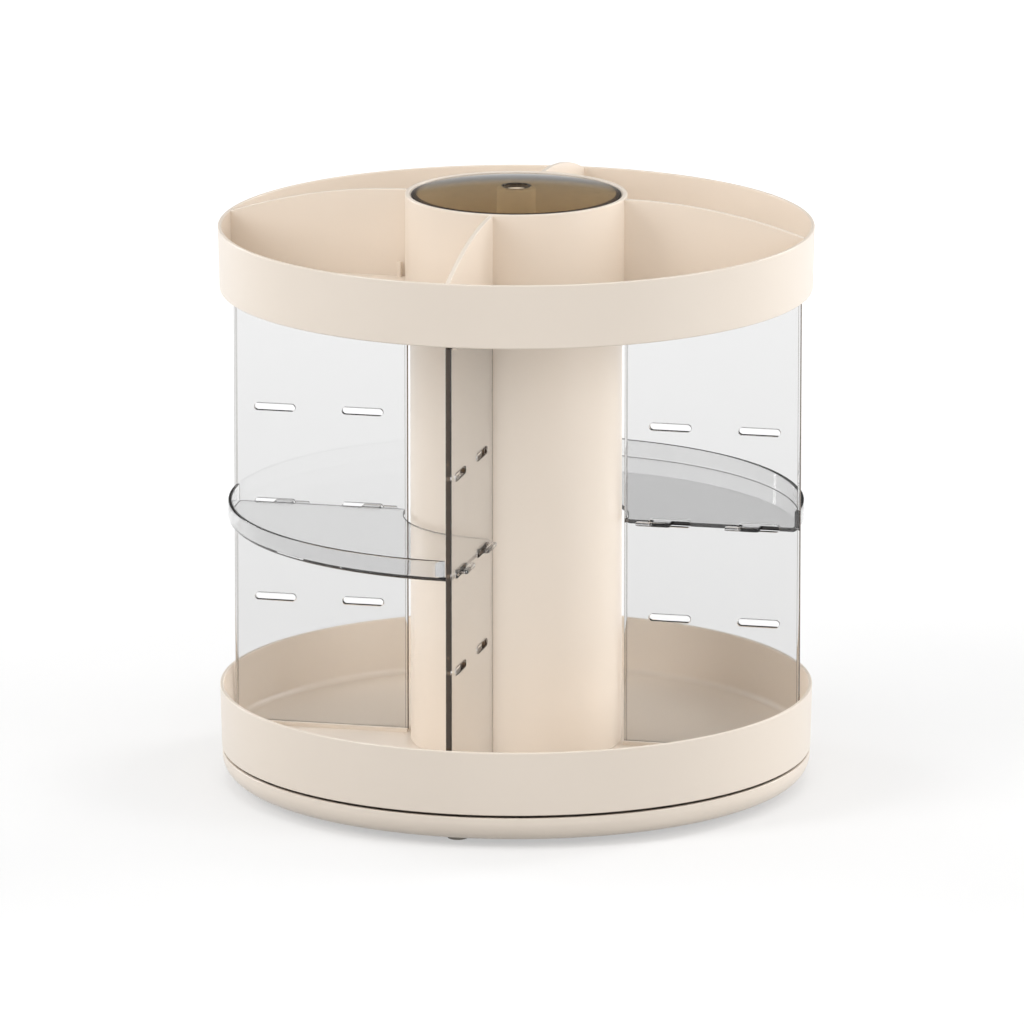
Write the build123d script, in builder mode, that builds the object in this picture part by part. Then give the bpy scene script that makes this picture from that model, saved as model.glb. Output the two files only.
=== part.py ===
from build123d import *
import os

# Rotating two-tier countertop organiser: a shallow base, a turning lower tray, a hollow
# column ringed by four clear slotted panels, two clear shelves hooked into the slots, and
# an upper tray whose centre is a lidded cup. All sizes are millimetres. The axis of
# rotation is Z, the floor is Z = 0, and a panel stands on each of +X, +Y, -X and -Y.

# ---- driving sizes: heights, from the floor up ----
foot_stand = 3.0                # floor to the underside of the base
base_height = 11.1              # underside to top edge of the base
turning_gap = 1.2               # open line between the base and the lower tray
tray_floor = 2.3                # floor of the lower tray
tray_height = 28.0              # underside to rim of the lower tray
panel_height = 202.5
panel_top_gap = 0.1
upper_floor = 2.4               # floor of the upper tray
upper_height = 27.9             # underside to rim of the upper tray
sleeve_rise = 13.7              # cup sleeve above the upper rim
lid_sink = 2.5                  # lid seat below the top of the sleeve
lid_height = 5.7                # lid seat to the crown of the lid

# ---- driving sizes: the trays and the base ----
tray_radius = 130.0             # both rims
tray_draft = 0.7                # how much narrower a tray is at its underside
tray_wall = 1.6
tray_foot_fillet = 3.0          # inside, where wall meets floor
upper_corner = 0.8              # outside lower edge of the upper tray
rim_round = 0.55
base_inset = 0.9                # base edge inside the tray rim
base_wall = 1.8
base_roll = 9.0                 # rounded lower edge of the base

# ---- driving sizes: column, cup and lid ----
column_radius = 46.3
column_lower_wall = 2.4
column_upper_wall = 1.6
cup_depth = 58.0                # cup floor below the column's top
cup_floor_thickness = 2.0
sleeve_wall = 2.0
sleeve_clearance = 0.1
lip_thickness = 1.1             # inward lip of the sleeve that lands on the column
post_radius = 8.45
post_wall = 1.6
post_gap = 0.3                  # post top below the lid
cup_clearance = 0.1
lid_thickness = 2.0
lid_side_gap = 0.4
lid_land = 1.4                  # flat ring under the lid's edge
lid_hole_radius = 5.85
lid_edge_round = 0.5

# ---- driving sizes: panels, slots and rails ----
panel_count = 4
panel_thickness = 2.6
panel_column_gap = 2.3
panel_end_gap = 0.5
panel_edge_round = 1.1
panel_edge_land = 0.1           # least flat left between two rounded edges, to either side
panel_foot_corner = 3.7         # clears the fillet round the tray floor
panel_top_corner = 0.8
slot_length = 18.4
slot_width = 3.0
slot_inner_inset = 20.5         # inner slots' centre from the panel's inner edge
slot_outer_inset = 18.4         # outer slots' centre from the panel's outer edge
slot_levels = 3
slot_pitch = 42.75              # from one level of slots to the next
slot_first_rise = 57.7          # lowest slots above the tray floor
rail_width = 1.6
rail_height = 1.7
rail_clearance = 0.1

# ---- driving sizes: shelves ----
shelf_level = 1                 # counted from the lowest slots, which are level 0
shelf_thickness = 1.8
shelf_wall = 1.7
shelf_height = 9.3
shelf_panel_gap = 0.4
shelf_column_gap = 3.0
shelf_rim_inset = 1.2           # shelf edge inside the panels' outer edges
shelf_corner = 3.0
shelf_inner_corner = 2.4
shelf_heel = 2.4                # rounded lower outer edge
shelf_rim_round = 0.5
hook_drop_gap = 0.1             # hook above the slot's lower edge
hook_end_gap = 1.3              # hook neck from the inner end of its slot
hook_neck = 8.4
hook_nose = 5.7                 # nose past the slot's inner end, behind the panel
hook_back_gap = 0.3
hook_width = 2.6
hook_round = 1.2

# ---- driving sizes: dividers and catches of the upper tray ----
divider_thickness = 2.0
catch_size = 1.8
catch_height = 6.7
catch_sleeve_gap = 3.4          # catch centre outside the sleeve
catch_divider_gap = 3.0         # catch centre from the divider's middle

# ---- driving sizes: pivot, race, balls, feet and screws ----
spigot_radius = 8.0
running_clearance = 0.05
bush_wall = 2.5
bush_flange = 3.0               # how far the flange stands out from the bush
bush_flange_thickness = 1.4
hub_wall = 2.5
hub_drop = 4.4                  # hub of the lower tray below its floor
washer_thickness = 1.2
washer_float = 0.3              # free lift of the tray under the washer
pivot_screw_radius = 2.0
pivot_screw_length = 12.0
pivot_head_radius = 4.0
pivot_head_height = 2.4
pivot_hole_spare = 2.0
race_radius = 60.0
race_width = 8.0
ball_diameter = 5.0
ball_count = 16
ball_groove_radius = 2.8        # a little more open than the ball, so it rolls on one line
cage_width = 14.0
cage_thickness = 1.2
cage_gap = 0.3
foot_inset = 19.1               # foot centre inside the edge of the base
foot_radius = 4.5
foot_recess = 0.8
foot_clearance = 0.1
foot_round = 0.6
column_screw_radius = 1.5
column_screw_length = 12.0
column_head_radius = 3.0
column_head_height = 1.9
screw_hole_clearance = 0.2
head_round = 0.7
boss_radius = 3.5
boss_height = 14.0
boss_bite = 0.8                 # how far a boss sinks into the column's wall

# ---- heights that follow ----
base_top = foot_stand + base_height
base_floor_top = foot_stand + base_wall
tray_under = base_top + turning_gap
tray_floor_top = tray_under + tray_floor
tray_rim = tray_under + tray_height
panel_top = tray_floor_top + panel_height
upper_under = panel_top + panel_top_gap
upper_floor_top = upper_under + upper_floor
upper_rim = upper_under + upper_height
sleeve_top = upper_rim + sleeve_rise
lid_seat = sleeve_top - lid_sink
lid_crown = lid_seat + lid_height
column_top = lid_seat - lip_thickness
cup_floor_top = column_top - cup_depth
cup_floor_under = cup_floor_top - cup_floor_thickness
post_top = lid_crown - lid_thickness - post_gap
slot_heights = [tray_floor_top + slot_first_rise + level * slot_pitch for level in range(slot_levels)]
shelf_under = slot_heights[shelf_level] - slot_width / 2 + hook_drop_gap
ball_height = (base_floor_top + tray_under) / 2
race_gap = cage_thickness / 2 + cage_gap        # race face from the balls' centres

# ---- radii that follow ----
tray_foot_radius = tray_radius - tray_draft
tray_inner_foot = tray_foot_radius - tray_wall
base_radius = tray_radius - base_inset
foot_circle = base_radius - foot_inset
column_lower_bore = column_radius - column_lower_wall
column_upper_bore = column_radius - column_upper_wall
sleeve_bore = column_radius + sleeve_clearance
sleeve_radius = sleeve_bore + sleeve_wall
lid_radius = sleeve_bore - lid_side_gap
panel_inner = column_radius + panel_column_gap
panel_outer = tray_inner_foot - panel_end_gap
slot_radii = (panel_inner + slot_inner_inset, panel_outer - slot_outer_inset)
rail_end = tray_inner_foot - tray_foot_fillet
shelf_outer = panel_outer - shelf_rim_inset
shelf_inner = column_radius + shelf_column_gap
shelf_edge = panel_thickness / 2 + shelf_panel_gap
bush_bore = spigot_radius + running_clearance
bush_radius = bush_bore + bush_wall
bush_flange_radius = bush_radius + bush_flange
hub_radius = bush_radius + hub_wall
spigot_top = tray_floor_top + bush_flange_thickness + washer_float
ball_radius = ball_diameter / 2
race_inner = race_radius - race_width / 2
race_outer = race_radius + race_width / 2
groove_offset = ball_groove_radius - ball_radius - running_clearance
screw_ring_radius = column_lower_bore - boss_radius + boss_bite
panel_angle = 360 / panel_count
cut_margin = 1.0                # how far a cutter or a joined end runs past its face


def radial_plane(angle):
    """Upright plane through the axis: x runs outward at this angle, y runs up."""
    outward = Vector(1, 0, 0).rotate(Axis.Z, angle)
    across = Vector(0, -1, 0).rotate(Axis.Z, angle)
    return Plane(origin=(0, 0, 0), x_dir=outward, z_dir=across)


def distance_from_axis(corner):
    """How far a corner of a level sketch lies from the axis."""
    return (corner.X**2 + corner.Y**2) ** 0.5


def round_corner(sketch, radius, *corners):
    """Round the sketch's corners that lie at these points."""
    for corner in corners:
        fillet(sketch.vertices().sort_by_distance(corner)[0], radius=radius)


def add_screws(ring, start, seat, up, radius, length, head_radius, head_height):
    """Add pan-head screws on a ring: the head lies below the seat where up is 1, above where -1."""
    shank_side = Align.MIN if up > 0 else Align.MAX
    head_side = Align.MAX if up > 0 else Align.MIN
    places = [Location((ring, 0, seat))] if ring == 0 else [
        Location((0, 0, seat)) * place for place in PolarLocations(ring, panel_count, start)
    ]
    with Locations(*places):
        Cylinder(radius, length, align=(Align.CENTER, Align.CENTER, shank_side))
        head = Cylinder(head_radius, head_height, align=(Align.CENTER, Align.CENTER, head_side))
    fillet(head.edges().filter_by(GeomType.CIRCLE).group_by(Axis.Z)[0 if up > 0 else -1], radius=head_round)


# ---- base ----
with BuildPart() as base_shell:
    with BuildSketch(Plane.XZ) as base_section:
        with BuildLine():
            Polyline(
                (0, foot_stand),
                (base_radius, foot_stand),
                (base_radius, base_top),
                (base_radius - base_wall, base_top),
                (base_radius - base_wall, base_floor_top),
                (race_outer, base_floor_top),
                (race_outer, ball_height - race_gap),
                (race_inner, ball_height - race_gap),
                (race_inner, base_floor_top),
                (spigot_radius, base_floor_top),
                (spigot_radius, spigot_top),
                (0, spigot_top),
                close=True,
            )
        make_face()
        round_corner(base_section, base_roll, (base_radius, foot_stand))
        round_corner(base_section, base_roll - base_wall, (base_radius - base_wall, base_floor_top))
        round_corner(base_section, rim_round, (base_radius, base_top), (base_radius - base_wall, base_top))
    revolve(axis=Axis.Z)
    with BuildSketch(Plane.XZ):
        with Locations((race_radius, ball_height + groove_offset)):
            Circle(ball_groove_radius)
    revolve(axis=Axis.Z, mode=Mode.SUBTRACT)
    with Locations((0, 0, spigot_top)):
        Hole(pivot_screw_radius, depth=pivot_screw_length - washer_thickness + pivot_hole_spare)
    with BuildSketch(Plane.XY.offset(foot_stand)):
        with PolarLocations(foot_circle, panel_count):
            Circle(foot_radius + foot_clearance)
    extrude(amount=foot_recess, mode=Mode.SUBTRACT)
base_shell.part.label = "base_shell"

with BuildPart() as rubber_feet:
    with BuildSketch():
        with PolarLocations(foot_circle, panel_count):
            Circle(foot_radius)
    extrude(amount=foot_stand + foot_recess)
    fillet(rubber_feet.edges().filter_by(GeomType.CIRCLE).group_by(Axis.Z)[0], radius=foot_round)
rubber_feet.part.label = "rubber_feet"

with BuildPart() as pivot_washer:
    with BuildSketch(Plane.XY.offset(spigot_top)):
        Circle(bush_flange_radius)
        Circle(pivot_screw_radius + screw_hole_clearance, mode=Mode.SUBTRACT)
    extrude(amount=washer_thickness)
pivot_washer.part.label = "pivot_washer"

with BuildPart() as pivot_screw:
    add_screws(
        0, 0, spigot_top + washer_thickness, -1,
        pivot_screw_radius, pivot_screw_length, pivot_head_radius, pivot_head_height,
    )
pivot_screw.part.label = "pivot_screw"

# ---- ball race ----
with BuildPart() as ball_cage:
    with BuildSketch(Plane.XY.offset(ball_height - cage_thickness / 2)):
        Circle(race_radius + cage_width / 2)
        Circle(race_radius - cage_width / 2, mode=Mode.SUBTRACT)
        with PolarLocations(race_radius, ball_count):
            Circle(ball_radius + cup_clearance, mode=Mode.SUBTRACT)
    extrude(amount=cage_thickness)
ball_cage.part.label = "ball_cage"

with BuildPart() as bearing_balls:
    with Locations((0, 0, ball_height)):
        with PolarLocations(race_radius, ball_count):
            Sphere(ball_radius)
bearing_balls.part.label = "bearing_balls"

# ---- lower tray ----
with BuildPart() as bottom_tray:
    with BuildSketch(Plane.XZ) as tray_section:
        with BuildLine():
            Polyline(
                (bush_radius, tray_under - hub_drop),
                (hub_radius, tray_under - hub_drop),
                (hub_radius, tray_under),
                (race_inner, tray_under),
                (race_inner, ball_height + race_gap),
                (race_outer, ball_height + race_gap),
                (race_outer, tray_under),
                (tray_foot_radius, tray_under),
                (tray_radius, tray_rim),
                (tray_radius - tray_wall, tray_rim),
                (tray_inner_foot, tray_floor_top),
                (bush_radius, tray_floor_top),
                close=True,
            )
        make_face()
        round_corner(tray_section, tray_foot_fillet, (tray_inner_foot, tray_floor_top))
        round_corner(
            tray_section, rim_round,
            (tray_radius, tray_rim), (tray_radius - tray_wall, tray_rim), (tray_foot_radius, tray_under),
        )
    revolve(axis=Axis.Z)
    with BuildSketch(Plane.XZ):
        with Locations((race_radius, ball_height - groove_offset)):
            Circle(ball_groove_radius)
    revolve(axis=Axis.Z, mode=Mode.SUBTRACT)
    with BuildSketch(Plane.XY.offset(tray_floor_top)):
        with PolarLocations((panel_inner + rail_end) / 2, panel_count):
            with GridLocations(0, panel_thickness + 2 * rail_clearance + rail_width, 1, 2):
                Rectangle(rail_end - panel_inner, rail_width)
    extrude(amount=rail_height)
    with BuildSketch(Plane.XY.offset(tray_under)):
        with PolarLocations(screw_ring_radius, panel_count, panel_angle / 2):
            Circle(column_screw_radius + screw_hole_clearance)
    extrude(amount=tray_floor, mode=Mode.SUBTRACT)
bottom_tray.part.label = "bottom_tray"

with BuildPart() as pivot_bush:
    with BuildSketch(Plane.XZ):
        with BuildLine():
            Polyline(
                (bush_bore, tray_under - hub_drop),
                (bush_radius, tray_under - hub_drop),
                (bush_radius, tray_floor_top),
                (bush_flange_radius, tray_floor_top),
                (bush_flange_radius, tray_floor_top + bush_flange_thickness),
                (bush_bore, tray_floor_top + bush_flange_thickness),
                close=True,
            )
        make_face()
    revolve(axis=Axis.Z)
pivot_bush.part.label = "pivot_bush"

# ---- column ----
with BuildPart() as column_tube:
    with BuildSketch(Plane.XZ):
        with BuildLine():
            Polyline(
                (column_lower_bore, tray_floor_top),
                (column_radius, tray_floor_top),
                (column_radius, column_top),
                (column_upper_bore, column_top),
                (column_upper_bore, cup_floor_under),
                (column_lower_bore, cup_floor_under),
                close=True,
            )
        make_face()
    revolve(axis=Axis.Z)
    with BuildSketch(Plane.XY.offset(tray_floor_top)):
        with PolarLocations(screw_ring_radius, panel_count, panel_angle / 2):
            Circle(boss_radius)
    extrude(amount=boss_height)
    with BuildSketch(Plane.XY.offset(tray_floor_top)):
        with PolarLocations(screw_ring_radius, panel_count, panel_angle / 2):
            Circle(column_screw_radius)
    extrude(amount=column_screw_length - tray_floor + pivot_hole_spare, mode=Mode.SUBTRACT)
column_tube.part.label = "column_tube"

with BuildPart() as column_screws:
    add_screws(
        screw_ring_radius, panel_angle / 2, tray_under, 1,
        column_screw_radius, column_screw_length, column_head_radius, column_head_height,
    )
column_screws.part.label = "column_screws"

with BuildPart() as cup_floor:
    with BuildSketch(Plane.XZ) as cup_section:
        with BuildLine():
            Polyline(
                (post_radius - post_wall, cup_floor_under),
                (column_upper_bore - cup_clearance, cup_floor_under),
                (column_upper_bore - cup_clearance, cup_floor_top),
                (post_radius, cup_floor_top),
                (post_radius, post_top),
                (0, post_top),
                (0, post_top - post_wall),
                (post_radius - post_wall, post_top - post_wall),
                close=True,
            )
        make_face()
        round_corner(cup_section, rim_round, (post_radius, post_top), (post_radius, cup_floor_top))
    revolve(axis=Axis.Z)
cup_floor.part.label = "cup_floor"


# ---- clear panels ----
def slotted_panel(angle):
    """One upright clear panel with its rows of round-ended slots."""
    with BuildPart() as panel:
        with BuildSketch(radial_plane(angle)) as outline:
            with Locations((panel_inner, tray_floor_top)):
                Rectangle(panel_outer - panel_inner, panel_height, align=(Align.MIN, Align.MIN))
            round_corner(outline, panel_foot_corner, (panel_outer, tray_floor_top))
            round_corner(
                outline, panel_top_corner,
                (panel_outer, panel_top), (panel_inner, panel_top), (panel_inner, tray_floor_top),
            )
        extrude(amount=panel_thickness / 2, both=True)
        upright = panel.edges().filter_by(Axis.Z).filter_by(lambda edge: edge.length > panel_height / 2)
        fillet(upright, radius=min(panel_edge_round, panel_thickness / 2 - panel_edge_land))
        with BuildSketch(radial_plane(angle)):
            for radius in slot_radii:
                with Locations(*[(radius, height) for height in slot_heights]):
                    SlotOverall(slot_length, slot_width)
        extrude(amount=panel_thickness, both=True, mode=Mode.SUBTRACT)
    return panel


panel_names = ("panel_right", "panel_back", "panel_left", "panel_front")
panels = [slotted_panel(number * panel_angle) for number in range(panel_count)]
for panel, panel_name in zip(panels, panel_names):
    panel.part.label = panel_name


# ---- clear shelves ----
def hooked_shelf(angle):
    """A quarter-round shelf in the bay that starts at this angle, hooked into both panels."""
    seat = Plane.XY.offset(shelf_under).rotated((0, 0, angle))
    with BuildPart() as shelf:
        with BuildSketch(seat) as outline:
            Circle(shelf_outer)
            Circle(shelf_inner, mode=Mode.SUBTRACT)
            with Locations((shelf_edge, shelf_edge)):
                Rectangle(shelf_outer, shelf_outer, align=(Align.MIN, Align.MIN), mode=Mode.INTERSECT)
            fillet(outline.vertices().sort_by(distance_from_axis)[:2], radius=shelf_inner_corner)
            fillet(outline.vertices().sort_by(distance_from_axis)[-2:], radius=shelf_corner)
        extrude(amount=shelf_height)
        heel = shelf.faces().sort_by(Axis.Z)[0].edges().filter_by(GeomType.CIRCLE)
        fillet(heel.sort_by(SortBy.RADIUS)[-1:], radius=shelf_heel)
        with BuildSketch(seat.offset(shelf_thickness)):
            Circle(shelf_outer - shelf_wall)
        extrude(amount=shelf_height, mode=Mode.SUBTRACT)
        fillet(shelf.faces().sort_by(Axis.Z)[-1].edges(), radius=shelf_rim_round)
        with BuildSketch(seat) as hooks:
            behind = panel_thickness / 2 + hook_back_gap
            for radius in slot_radii:
                slot_end = radius - slot_length / 2
                neck_start = slot_end + hook_end_gap
                tip = slot_end - hook_nose
                with BuildLine():
                    Polyline(
                        (neck_start, shelf_edge + cut_margin),
                        (neck_start, -behind),
                        (tip, -behind),
                        (tip, -behind - hook_width),
                        (neck_start + hook_neck, -behind - hook_width),
                        (neck_start + hook_neck, shelf_edge + cut_margin),
                        close=True,
                    )
                make_face()
                round_corner(
                    hooks, hook_round,
                    (tip, -behind), (tip, -behind - hook_width),
                    (neck_start + hook_neck, -behind - hook_width),
                )
            mirror(about=Plane(origin=(0, 0, 0), z_dir=(1, -1, 0)))
        extrude(amount=shelf_thickness)
    return shelf


shelf_back_right = hooked_shelf(0)
shelf_back_right.part.label = "shelf_back_right"
shelf_front_left = hooked_shelf(180)
shelf_front_left.part.label = "shelf_front_left"

# ---- upper tray ----
with BuildPart() as top_tray:
    with BuildSketch(Plane.XZ) as upper_section:
        with BuildLine():
            Polyline(
                (sleeve_bore, upper_under),
                (tray_foot_radius, upper_under),
                (tray_radius, upper_rim),
                (tray_radius - tray_wall, upper_rim),
                (tray_inner_foot, upper_floor_top),
                (sleeve_radius, upper_floor_top),
                (sleeve_radius, sleeve_top),
                (sleeve_bore, sleeve_top),
                (sleeve_bore, lid_seat),
                (column_upper_bore, lid_seat),
                (column_upper_bore, column_top),
                (sleeve_bore, column_top),
                close=True,
            )
        make_face()
        round_corner(upper_section, upper_corner, (tray_foot_radius, upper_under))
        round_corner(upper_section, tray_foot_fillet, (tray_inner_foot, upper_floor_top))
        round_corner(
            upper_section, rim_round,
            (tray_radius, upper_rim), (tray_radius - tray_wall, upper_rim),
            (sleeve_radius, sleeve_top), (sleeve_bore, sleeve_top), (sleeve_radius, upper_floor_top),
        )
    revolve(axis=Axis.Z)
    for number in range(panel_count):
        with BuildSketch(radial_plane(number * panel_angle)):
            with BuildLine():
                wall_middle = tray_radius - tray_wall / 2
                sleeve_middle = sleeve_radius - sleeve_wall / 2
                crest = Line((sleeve_middle, sleeve_top - rim_round), (sleeve_radius, sleeve_top - rim_round))
                sweep_down = TangentArc(crest @ 1, (wall_middle, upper_rim - rim_round), tangent=(1, 0))
                Polyline(
                    sweep_down @ 1,
                    (wall_middle, upper_floor_top - upper_floor / 2),
                    (sleeve_middle, upper_floor_top - upper_floor / 2),
                    crest @ 0,
                )
            make_face()
        extrude(amount=divider_thickness / 2, both=True)
    with BuildSketch(Plane.XY.offset(upper_under)):
        with PolarLocations((panel_inner + rail_end) / 2, panel_count):
            with GridLocations(0, panel_thickness + 2 * rail_clearance + rail_width, 1, 2):
                Rectangle(rail_end - panel_inner, rail_width)
    extrude(amount=-rail_height)
    with BuildSketch(Plane.XY.offset(upper_floor_top)):
        with PolarLocations(sleeve_radius + catch_sleeve_gap, panel_count):
            with Locations((0, catch_divider_gap)):
                Rectangle(catch_size, catch_size)
    extrude(amount=catch_height)
top_tray.part.label = "top_tray"

# ---- lid ----
with BuildPart() as lid:
    with BuildSketch(Plane.XZ) as lid_section:
        with BuildLine():
            crown_arc = TangentArc((0, lid_crown), (lid_radius, lid_seat + lid_thickness), tangent=(1, 0))
            edge = Polyline(crown_arc @ 1, (lid_radius, lid_seat), (lid_radius - lid_land, lid_seat))
            hollow_arc = TangentArc((0, lid_crown - lid_thickness), edge @ 1, tangent=(1, 0))
            Line((0, lid_crown - lid_thickness), (0, lid_crown))
        make_face()
        round_corner(lid_section, lid_edge_round, (lid_radius, lid_seat + lid_thickness))
    revolve(axis=Axis.Z)
    with Locations((0, 0, lid_crown)):
        Hole(lid_hole_radius, depth=lid_height)
lid.part.label = "lid"

# ---- one file per sub-part ----
pieces = [
    base_shell, rubber_feet, pivot_washer, pivot_screw, ball_cage, bearing_balls,
    bottom_tray, pivot_bush, column_tube, column_screws, cup_floor,
    *panels, shelf_front_left, shelf_back_right, top_tray, lid,
]
os.makedirs("parts", exist_ok=True)
for piece in pieces:
    export_step(piece.part, f"parts/{piece.part.label}.step")
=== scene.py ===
"""Two-tier rotating makeup organiser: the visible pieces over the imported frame, and the stage.

Lengths are metres. The axis of rotation is Z, the floor is Z = 0, and an upright clear panel
stands on each of +X, +Y, -X and -Y.
"""
import math

import bpy
import numpy as np
from bpy.props import FloatProperty, FloatVectorProperty, IntProperty, PointerProperty
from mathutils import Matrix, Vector
from mathutils.geometry import tessellate_polygon


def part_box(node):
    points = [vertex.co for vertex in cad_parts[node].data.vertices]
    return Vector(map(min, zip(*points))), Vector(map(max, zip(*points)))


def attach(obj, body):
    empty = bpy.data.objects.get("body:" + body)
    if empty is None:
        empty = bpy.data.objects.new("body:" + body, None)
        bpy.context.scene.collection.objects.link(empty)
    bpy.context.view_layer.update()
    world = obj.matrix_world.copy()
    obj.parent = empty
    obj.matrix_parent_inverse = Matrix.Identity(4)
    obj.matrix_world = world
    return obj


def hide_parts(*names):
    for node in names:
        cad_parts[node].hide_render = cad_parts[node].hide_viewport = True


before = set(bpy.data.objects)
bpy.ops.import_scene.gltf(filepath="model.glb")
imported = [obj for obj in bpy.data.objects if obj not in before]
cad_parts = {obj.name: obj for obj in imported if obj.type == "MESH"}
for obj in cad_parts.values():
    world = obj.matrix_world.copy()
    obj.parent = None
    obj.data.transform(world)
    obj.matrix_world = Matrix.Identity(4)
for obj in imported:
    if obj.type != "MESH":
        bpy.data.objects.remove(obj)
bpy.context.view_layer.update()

bl_info = {
    "name": "Rotating Makeup Organiser",
    "version": (1, 0, 0),
    "blender": (4, 5, 0),
    "location": "View3D > Sidebar > Organiser",
    "description": "Builds a two-tier turning organiser with clear panels and a lidded cup",
    "category": "Object",
}

MM = 0.001
QUARTER = math.pi / 2
PANELS = ("panel_right", "panel_back", "panel_left", "panel_front")
WELD = 1e-7              # points nearer than a ten-thousandth of a millimetre are one
ARC_ERROR = 0.008 * MM   # how far a drawn arc may leave the true one
CRISP = 0.2 * MM         # rounding of an edge that looks sharp
MOULDED = 0.3 * MM       # rounding of a plain moulded edge
STEP = 0.4 * MM          # rounding where a raised part meets its floor
SUNK = 0.5 * MM          # how far a rail reaches into its tray
FINE_RIM = 0.4 * MM      # a plate's rim rounded no more than this takes half the steps
SHARP_EDGE = math.radians(50)   # faces that turn by more than this meet in a sharp edge
SHADE_LINE_WIDTH = 0.14 * MM   # width of the painted shade line inside a clear panel's rim
SIDE_SHADE_BAND = 0.3 * MM     # how deep the painted shade on a shelf's sides reaches
FOOT_SHADE_BAND = 1.8 * MM     # painted shade line along the foot of a shelf's wall: its reach inward
FOOT_SHADE_RISE = 1.2 * MM     # and its height
LID_SHADE_BAND = 2 * MM        # width of the painted shade ring of the lid
HOLE_SHADE_BAND = 0.4 * MM     # width of the painted shade ring round the lid's hole
TURNS = 256              # steps of a large turned surface

# The photograph's camera: degrees round and above the object, metres away, millimetres.
CAMERA_AZIMUTH, CAMERA_RISE, CAMERA_DISTANCE, CAMERA_LENS = 13.25, 13.13, 5.174, 415.5
CAMERA_HEIGHT = 0.1192   # height of the point in the middle of the picture
CAMERA_SIDE = 0.00184    # and how far it is to the left of the axis
LIGHT_HEIGHT = 0.12      # height of the point that the lamps shine on
FLOOR_RADIUS, FLOOR_TURNS = 2.4, 96


def reach(node):
    """Outer radius, lowest height and highest height of a CAD node that goes round the axis."""
    low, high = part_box(node)
    return high.x, low.z, high.z


BASE_REACH, BASE_UNDER, SPIGOT_TOP = reach("base_shell")
TRAY_REACH, _, TRAY_RIM = reach("bottom_tray")
COLUMN_REACH, TRAY_FLOOR, COLUMN_TOP = reach("column_tube")
PANEL_REACH, PANEL_FOOT, PANEL_TOP = reach("panel_right")
SLEEVE_TOP = reach("top_tray")[2]
CUP_REACH, CUP_UNDER, POST_TOP = reach("cup_floor")
LID_REACH, LID_SEAT, _ = reach("lid")
SHELF_UNDER = reach("shelf_back_right")[1]


# ---------------------------------------------------------------- sizes and colours
def linear_from_hex(code):
    """Linear red, green, blue and 1 from an sRGB hex colour, by the sRGB curve."""
    parts = np.array([int(code[at:at + 2], 16) for at in (1, 3, 5)]) / 255
    linear = np.where(parts <= 0.04045, parts / 12.92, ((parts + 0.055) / 1.055) ** 2.4)
    return (*(float(part) for part in linear), 1.0)


def length(name, description, default):
    """A size in metres that a user can change."""
    return FloatProperty(
        name=name, description=description, default=default, min=0.0, precision=5, unit="LENGTH",
    )


def colour(name, description, code):
    """A colour that a user can change, written as an sRGB hex code."""
    return FloatVectorProperty(
        name=name, description=description, default=linear_from_hex(code),
        size=4, min=0.0, max=1.0, subtype="COLOR",
    )


class OrganiserBase(bpy.types.PropertyGroup):
    """Sizes of the base and its feet."""
    radius: length("Radius", "Outer radius of the base", BASE_REACH)
    underside: length("Underside", "Height of the underside over the floor", BASE_UNDER)
    height: length("Height", "Underside to the top edge", 11.1 * MM)
    wall: length("Wall", "Wall thickness", 1.8 * MM)
    roll: length("Roll", "Radius of the rolled lower edge", 9 * MM)
    rim_round: length("Rim round", "Rounding of the top edge", 0.55 * MM)
    foot_circle: length("Foot circle", "Radius of the circle that the feet stand on", 110 * MM)
    foot_radius: length("Foot radius", "Radius of a rubber foot", 4.5 * MM)
    foot_recess: length("Foot recess", "How far a foot sits in the base", 0.8 * MM)
    foot_round: length("Foot round", "Rounding of a foot's lower edge", 0.6 * MM)
    spigot_radius: length("Spigot radius", "Radius of the pivot spigot", 8 * MM)
    spigot_top: length("Spigot top", "Height of the top of the pivot spigot", SPIGOT_TOP)
    race_radius: length("Race radius", "Radius of the ball race", 60 * MM)
    race_width: length("Race width", "Width of the raised track", 8 * MM)
    race_height: length("Race height", "Height of the balls' centres", 10.05 * MM)
    race_gap: length("Race gap", "Track face from the balls' centres", 0.9 * MM)
    groove_half: length("Groove half", "Half the width of the balls' groove", 2.4 * MM)
    groove_depth: length("Groove depth", "Depth of the corner that the groove rounds", 1.4 * MM)
    groove_round: length("Groove round", "Radius of the groove", 2.2 * MM)


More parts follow.
